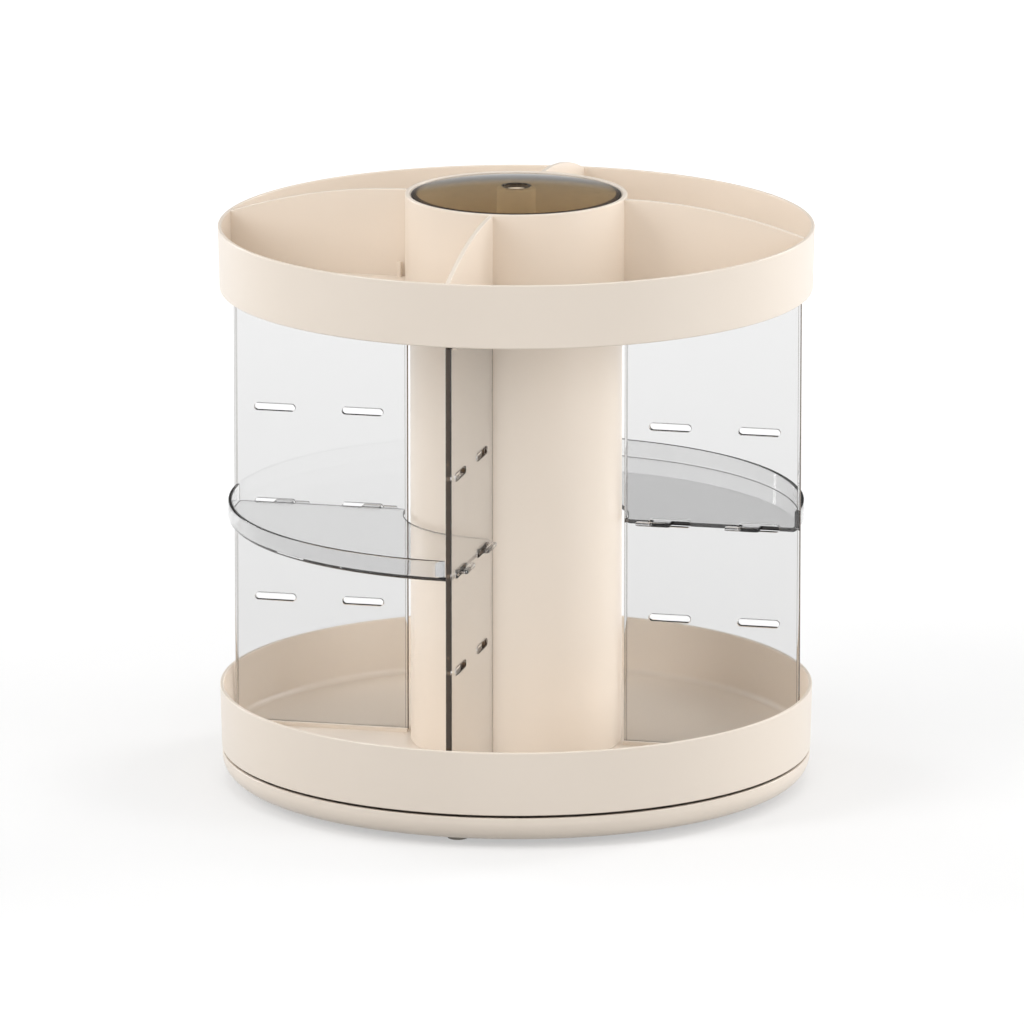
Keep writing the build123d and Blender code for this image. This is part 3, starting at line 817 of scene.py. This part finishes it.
class ORGANISER_OT_panels(bpy.types.Operator):
    """Make the four clear slotted panels"""
    bl_idname = "organiser.panels"
    bl_label = "Clear panels"

    def execute(self, context):
        panels = context.scene.organiser_panels
        outline = rounded([
            (panels.inner, panels.foot, panels.corner),
            (panels.outer, panels.foot, panels.foot_corner),
            (panels.outer, panels.top, panels.corner),
            (panels.inner, panels.top, panels.corner),
        ])
        half, end = panels.slot_length / 2, panels.slot_width / 2
        holes = []
        for level in range(panels.slot_levels):
            height = panels.first_slots + level * panels.slot_pitch
            for radius in (panels.inner_slots, panels.outer_slots):
                slot = rounded([
                    (radius + side * half, height + lift * end, end - 0.01 * MM)
                    for side, lift in ((-1, -1), (1, -1), (1, 1), (-1, 1))
                ])
                holes.append(slot[::-1])
        for number, node in enumerate(PANELS):
            out, left = spoke(number)
            shell = plate(
                outline, holes, panels.thickness, panels.edge_round, panels.slot_round,
                (0, 0, 0), out, (0, 0, 1), shade_line_width=SHADE_LINE_WIDTH,
            )
            piece = clear_piece(
                f"clear_{node}", mesh_from(node, [shell]),
                "clear_polystyrene", "clear_polystyrene_rim_painted_shade", "carousel", node,
            )
            # The two faces and their painted shade lines are shaded flat, so they don't bend light.
            faces = piece.data.polygons
            faces.foreach_set("use_smooth", np.abs(rows_of(faces, "normal") @ left) < 0.99999)
        return {"FINISHED"}


def swept_shelf(shelf):
    """Floor and wall of a shelf in the bay between +X and +Y, as one closed shell.

    The section is an L between a lower side (floor, rounded heel, outside of the wall) and an
    upper side (floor, inside of the wall) of as many points. A section point at radius r turns
    from angle asin(s / r) to 90 degrees less that, where s is the straight edge's distance from
    the panel's middle, plus rounding - sqrt(rounding^2 - depth^2) at a depth within a corner.
    """
    heel, wall, rim = shelf.heel, shelf.wall, shelf.rim_round
    floor = np.concatenate([
        shelf.inner + shelf.inner_corner * (1 - np.cos(np.linspace(0, QUARTER, 7))),
        np.linspace(shelf.inner + 6 * MM, shelf.outer - 6 * MM, 5),
        np.linspace(shelf.outer - shelf.outer_corner, shelf.outer - heel, 3)[:-1],
    ])
    turn = np.linspace(0, QUARTER, 9)
    lift = np.linspace(0, 1, 5)[1:]
    top = shelf.height - rim
    lower = np.concatenate([
        line(floor, 0),
        line(shelf.outer - heel + heel * np.sin(turn), heel - heel * np.cos(turn)),
        line(shelf.outer, heel + (top - heel) * lift),
        line(shelf.outer - rim + rim * np.cos(turn[2::2]), top + rim * np.sin(turn[2::2])),
    ])
    upper = np.concatenate([
        line(floor, shelf.floor),
        line(shelf.outer - heel + (heel - wall) * turn / QUARTER, shelf.floor),
        line(shelf.outer - wall, shelf.floor + (top - shelf.floor) * lift),
        line(shelf.outer - wall + rim - rim * np.cos(turn[2::2]), top + rim * np.sin(turn[2::2])),
    ])
    section = np.concatenate([lower, upper[::-1]])
    radius, height = section.T
    outer_depth = np.clip(radius - shelf.outer + shelf.outer_corner, 0, shelf.outer_corner)
    inner_depth = np.clip(shelf.inner + shelf.inner_corner - radius, 0, shelf.inner_corner)
    edge = (
        shelf.edge + shelf.outer_corner - np.sqrt(shelf.outer_corner ** 2 - outer_depth ** 2)
        + shelf.inner_corner - np.sqrt(shelf.inner_corner ** 2 - inner_depth ** 2)
    )
    start = np.arcsin(edge / radius)
    share = np.linspace(0, 1, 65)[:, None]
    angle = start + (QUARTER - 2 * start) * share
    points = np.stack([
        np.cos(angle) * radius, np.sin(angle) * radius,
        np.broadcast_to(height + shelf.underside, angle.shape),
    ], -1).reshape(-1, 3)
    around = grid_faces(len(share), len(section), False, True)
    near = np.arange(len(lower))
    far = len(section) - 1 - near
    end = np.stack([near[:-1], near[1:], far[1:], far[:-1]], 1)
    return points, np.concatenate([around, end, end[:, ::-1] + (len(share) - 1) * len(section)])


def shelf_hooks(shelf, panels):
    """The four flat hooks of a shelf in the bay between +X and +Y: a neck that runs through its
    slot and a nose that turns inward behind the panel."""
    shells = []
    middle = shelf.underside + shelf.floor / 2
    for radius in (panels.inner_slots, panels.outer_slots):
        neck = radius - shelf.hook_start
        behind, past = -shelf.hook_back, -shelf.hook_back - shelf.hook_width
        inside = shelf.edge + 0.8 * MM
        hook = rounded([
            (neck, inside, 0),
            (neck, behind, MOULDED),
            (neck - shelf.hook_nose, behind, shelf.hook_round),
            (neck - shelf.hook_nose, past, shelf.hook_round),
            (neck + shelf.hook_neck, past, shelf.hook_round),
            (neck + shelf.hook_neck, inside, 0),
        ])
        for outline in (hook, hook[::-1, ::-1]):
            shells.append(plate(
                outline, [], shelf.floor - 0.06 * MM, MOULDED, 0,
                (0, 0, middle), (1, 0, 0), (0, 1, 0),
            ))
    return shells


def fuse(name, body, tools, bevel):
    """The union of a closed shell, its sharp edges rounded by bevel, with other closed shells."""
    parts = []
    for shells in ([body], tools):
        piece = bpy.data.objects.new(name, mesh_from(name, shells))
        bpy.context.scene.collection.objects.link(piece)
        parts.append(piece)
    edges = parts[0].modifiers.new("Edges", "BEVEL")
    edges.width, edges.segments, edges.angle_limit = bevel, 2, SHARP_EDGE
    union = parts[0].modifiers.new("Union", "BOOLEAN")
    union.operation, union.solver, union.object = "UNION", "EXACT", parts[1]
    bpy.context.view_layer.update()
    evaluated = parts[0].evaluated_get(bpy.context.evaluated_depsgraph_get())
    mesh = bpy.data.meshes.new_from_object(evaluated)
    for piece in parts:
        spare = piece.data
        bpy.data.objects.remove(piece)
        bpy.data.meshes.remove(spare)
    return mesh


class ORGANISER_OT_shelves(bpy.types.Operator):
    """Make the two clear quarter-round shelves with their hooks"""
    bl_idname = "organiser.shelves"
    bl_label = "Clear shelves"

    def execute(self, context):
        shelf, panels = context.scene.organiser_shelves, context.scene.organiser_panels
        points, faces = swept_shelf(shelf)
        for node, side in (("shelf_back_right", 1), ("shelf_front_left", -1)):
            mesh = fuse(node, (points, faces, 0), shelf_hooks(shelf, panels), 0.25 * MM)
            centre = rows_of(mesh.polygons, "center")
            out = np.linalg.norm(centre[:, :2], axis=1)
            level = centre[:, 2] - shelf.underside
            beside = centre[:, :2].min(1)
            # Painted shade on the straight sides, the inner curve, the top of the wall and its
            # foot.
            painted_shade_faces = (
                ((beside > shelf.edge - 0.05 * MM) & (beside < shelf.edge + SIDE_SHADE_BAND))
                | ((out < shelf.inner + SIDE_SHADE_BAND) & (beside > shelf.edge))
                | (level > shelf.height - 0.4 * shelf.rim_round)
                | ((level < FOOT_SHADE_RISE) & (out > shelf.outer - FOOT_SHADE_BAND))
            )
            mesh.polygons.foreach_set("material_index", painted_shade_faces.astype(np.int32))
            where = rows_of(mesh.vertices, "co") * (side, side, 1)
            mesh.vertices.foreach_set("co", where.ravel())
            clear_piece(
                f"clear_{node}", mesh, "clear_polystyrene_shelf", "clear_polystyrene_shelf_edge_painted_shade",
                "carousel", node,
            )
        return {"FINISHED"}


class ORGANISER_OT_lid(bpy.types.Operator):
    """Make the smoke-clear lid"""
    bl_idname = "organiser.lid"
    bl_label = "Lid"

    def execute(self, context):
        cup = context.scene.organiser_cup
        peak, edge_top = cup.lid_seat + cup.lid_rise, cup.lid_seat + cup.lid_thickness
        inner_run = cup.lid_radius - cup.lid_land
        outer = crown(peak, cup.lid_radius, edge_top, np.linspace(cup.lid_hole, cup.lid_radius, 33))
        inner = crown(
            peak - cup.lid_thickness, inner_run, cup.lid_seat,
            np.linspace(inner_run, cup.lid_hole, 33),
        )
        points, faces = turned(rounded([
            (*outer[0], MOULDED),
            *((*point, 0) for point in outer[1:-1]),
            (*outer[-1], cup.lid_round),
            (cup.lid_radius, cup.lid_seat, CRISP),
            *((*point, 0) for point in inner[:-1]),
            (*inner[-1], MOULDED),
        ]))
        # Painted shade on the edges: the outer ring and the top of the hole's rim.
        middles = points[faces].mean(1)
        out = np.linalg.norm(middles[:, :2], axis=1)
        painted_shade_faces = out > cup.lid_radius - LID_SHADE_BAND
        painted_shade_faces |= (out < cup.lid_hole + HOLE_SHADE_BAND) & (middles[:, 2] > peak - HOLE_SHADE_BAND)
        clear_piece(
            "smoke_lid", mesh_from("smoke_lid", [(points, faces, painted_shade_faces.astype(int))]),
            "smoke_polystyrene", "smoke_polystyrene_painted_shade_edge", "lid", "lid",
        )
        return {"FINISHED"}


class ORGANISER_OT_mechanism(bpy.types.Operator):
    """Give the bearing, pivot and screws their finishes"""
    bl_idname = "organiser.mechanism"
    bl_label = "Bearing and screws"

    def execute(self, context):
        finishes = {
            "zinc_plated_steel": ("pivot_washer", "pivot_screw", "column_screws"),
            "polished_ball_steel": ("bearing_balls",),
            "moulded_white_acetal": ("ball_cage", "pivot_bush"),
        }
        for finish, nodes in finishes.items():
            for node in nodes:
                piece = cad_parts[node]
                piece.data.materials.clear()
                piece.data.materials.append(finish_of(finish))
        return {"FINISHED"}


# ---------------------------------------------------------------- stage
def aim(thing, place, target):
    """Put a light or camera at a place and point its -Z at the target."""
    thing.location = place
    thing.rotation_euler = (Vector(target) - Vector(place)).to_track_quat("-Z", "Y").to_euler()


def round_the_object(azimuth, elevation, distance, target):
    """The place at this distance from the target: azimuth 0 is in front (-Y), 90 is +X."""
    turn, rise = math.radians(azimuth), math.radians(elevation)
    return Vector(target) + distance * Vector(
        (math.sin(turn) * math.cos(rise), -math.cos(turn) * math.cos(rise), math.sin(rise))
    )


def watched(tree):
    """The Light Path node, and a node that is 1 for rays of the camera, of mirrors and through
    glass and 0 for all others."""
    path = add_node(tree, "ShaderNodeLightPath")
    seen = add_node(
        tree, "ShaderNodeMath", {"operation": "ADD", "use_clamp": True},
        [(0, path, "Is Camera Ray"), (1, path, "Is Glossy Ray")],
    )
    return path, add_node(
        tree, "ShaderNodeMath", {"operation": "ADD", "use_clamp": True},
        [(0, seen, 0), (1, path, "Is Transmission Ray")],
    )


def make_floor(scene):
    """A wide disc of matt white paper: r from 0 to its edge and the angle all round."""
    angle = np.arange(FLOOR_TURNS) * (2 * math.pi / FLOOR_TURNS)
    points = FLOOR_RADIUS * np.stack([np.cos(angle), np.sin(angle), 0 * angle], 1)
    mesh = bpy.data.meshes.new("floor")
    mesh.from_pydata(points.tolist(), [], [list(range(FLOOR_TURNS))])
    floor = bpy.data.objects.new("floor", mesh)
    scene.collection.objects.link(floor)
    # Plain diffuse, with some light of its own to eyes, mirrors and glass only, more of it
    # further out, where the lamps give it less.
    paper = bpy.data.materials.new("matt_white_paper")
    tree = empty_tree(paper)
    _, seen = watched(tree)
    place = add_node(tree, "ShaderNodeTexCoord")
    away = add_node(tree, "ShaderNodeVectorMath", {"operation": "LENGTH"}, [(0, place, "Object")])
    share = add_node(
        tree, "ShaderNodeMapRange",
        {"From Min": 0.3, "From Max": 1.6, "To Min": 0.44, "To Max": 0.76},
        [("Value", away, "Value")],
    )
    glow = add_node(
        tree, "ShaderNodeMath", {"operation": "MULTIPLY"}, [(0, seen, 0), (1, share, "Result")],
    )
    surface = add_node(
        tree, "ShaderNodeBsdfPrincipled",
        {
            "Base Color": tuple(scene.organiser_finish.floor), "Roughness": 0.9,
            "Specular IOR Level": 0.1, "Emission Color": (1, 1, 1, 1),
        },
        [("Emission Strength", glow, 0)],
    )
    add_node(tree, "ShaderNodeOutputMaterial", {}, [("Surface", surface, "BSDF")])
    mesh.materials.append(paper)


def make_world(scene):
    """A white world that lights softly: camera and glass see it white, and gloss sees white at
    eye level and a dim ceiling above, as in a studio."""
    world = bpy.data.worlds.new("studio")
    tree = empty_tree(world)
    path, seen = watched(tree)
    place = add_node(tree, "ShaderNodeTexCoord")
    direction = add_node(tree, "ShaderNodeSeparateXYZ", {}, [("Vector", place, "Generated")])
    bright = add_node(
        tree, "ShaderNodeMapRange",
        {"From Min": -0.12, "From Max": 0.18, "To Min": 1.0, "To Max": 0.12},
        [("Value", direction, "Z")],
    )
    for ray in ("Is Camera Ray", "Is Transmission Ray"):
        bright = add_node(
            tree, "ShaderNodeMath", {"operation": "MAXIMUM"}, [(0, bright, 0), (1, path, ray)],
        )
    level = add_node(
        tree, "ShaderNodeMapRange", {"To Min": 0.46}, [("Value", seen, 0), ("To Max", bright, 0)],
    )
    sky = add_node(
        tree, "ShaderNodeBackground", {"Color": (1, 1, 1, 1)}, [("Strength", level, "Result")],
    )
    add_node(tree, "ShaderNodeOutputWorld", {}, [("Surface", sky, "Background")])
    scene.world = world


class ORGANISER_OT_stage(bpy.types.Operator):
    """Make the floor, the soft studio light, the white world and the camera"""
    bl_idname = "organiser.stage"
    bl_label = "Stage"

    def execute(self, context):
        scene = context.scene
        make_floor(scene)
        make_world(scene)
        # Softboxes: name, azimuth from the camera's, elevation, distance, width, height, watts.
        middle = Vector((0, 0, LIGHT_HEIGHT))
        for name, azimuth, elevation, distance, width, height, power in (
            ("left_box", -62, 27, 2.2, 0.6, 1.6, 18),
            ("right_box", 66, 14, 2.4, 0.9, 1.4, 21),
            ("right_strip", 122, 20, 2.2, 0.5, 1.6, 16),
            ("left_strip", -130, 12, 2.2, 0.5, 1.6, 13),
            ("front_low", -6, 17, 2.3, 1.4, 0.7, 3),
            ("top_box", 0, 84, 2.0, 1.4, 1.4, 11),
        ):
            light = bpy.data.lights.new(name, "AREA")
            light.shape = "RECTANGLE"
            light.size, light.size_y = width, height
            light.energy = power
            lamp = bpy.data.objects.new(name, light)
            scene.collection.objects.link(lamp)
            azimuth += CAMERA_AZIMUTH
            aim(lamp, round_the_object(azimuth, elevation, distance, middle), middle)
            lamp.visible_camera = False
            lamp.visible_transmission = False

        camera = bpy.data.cameras.new("camera")
        camera.lens = CAMERA_LENS
        camera.sensor_width = 36.0
        camera.clip_end = 50.0
        eye = bpy.data.objects.new("camera", camera)
        scene.collection.objects.link(eye)
        turn = math.radians(CAMERA_AZIMUTH)
        right = Vector((math.cos(turn), math.sin(turn), 0))
        target = Vector((0, 0, CAMERA_HEIGHT)) - right * CAMERA_SIDE
        aim(eye, round_the_object(CAMERA_AZIMUTH, CAMERA_RISE, CAMERA_DISTANCE, target), target)
        scene.camera = eye
        scene.view_settings.view_transform = "Standard"
        return {"FINISHED"}


class ORGANISER_PT_sidebar(bpy.types.Panel):
    """The pieces of the organiser, with the sizes and colours that they read"""
    bl_idname = "ORGANISER_PT_sidebar"
    bl_label = "Rotating organiser"
    bl_space_type = "VIEW_3D"
    bl_region_type = "UI"
    bl_category = "Organiser"

    def draw(self, context):
        for group in GROUPS:
            settings = getattr(context.scene, group)
            box = self.layout.box()
            for name in settings.__annotations__:
                box.prop(settings, name)
        for operator in OPERATORS:
            self.layout.operator(operator.bl_idname)


GROUPS = {
    "organiser_base": OrganiserBase,
    "organiser_trays": OrganiserTrays,
    "organiser_cup": OrganiserCup,
    "organiser_panels": OrganiserPanels,
    "organiser_shelves": OrganiserShelves,
    "organiser_finish": OrganiserFinish,
}
OPERATORS = (
    ORGANISER_OT_stage,
    ORGANISER_OT_base,
    ORGANISER_OT_lower_tray,
    ORGANISER_OT_column,
    ORGANISER_OT_upper_tray,
    ORGANISER_OT_panels,
    ORGANISER_OT_shelves,
    ORGANISER_OT_lid,
    ORGANISER_OT_mechanism,
)
CLASSES = (*GROUPS.values(), *OPERATORS, ORGANISER_PT_sidebar)


def register():
    """Register the classes and give the scene its groups of settings."""
    for kind in CLASSES:
        bpy.utils.register_class(kind)
    for name, group in GROUPS.items():
        setattr(bpy.types.Scene, name, PointerProperty(type=group))


def unregister():
    """Take back all that register does."""
    for name in GROUPS:
        delattr(bpy.types.Scene, name)
    for kind in reversed(CLASSES):
        bpy.utils.unregister_class(kind)


def main():
    """Build everything in order."""
    register()
    for operator in OPERATORS:
        group, name = operator.bl_idname.split(".")
        getattr(getattr(bpy.ops, group), name)()


if __name__ == "__main__":
    main()
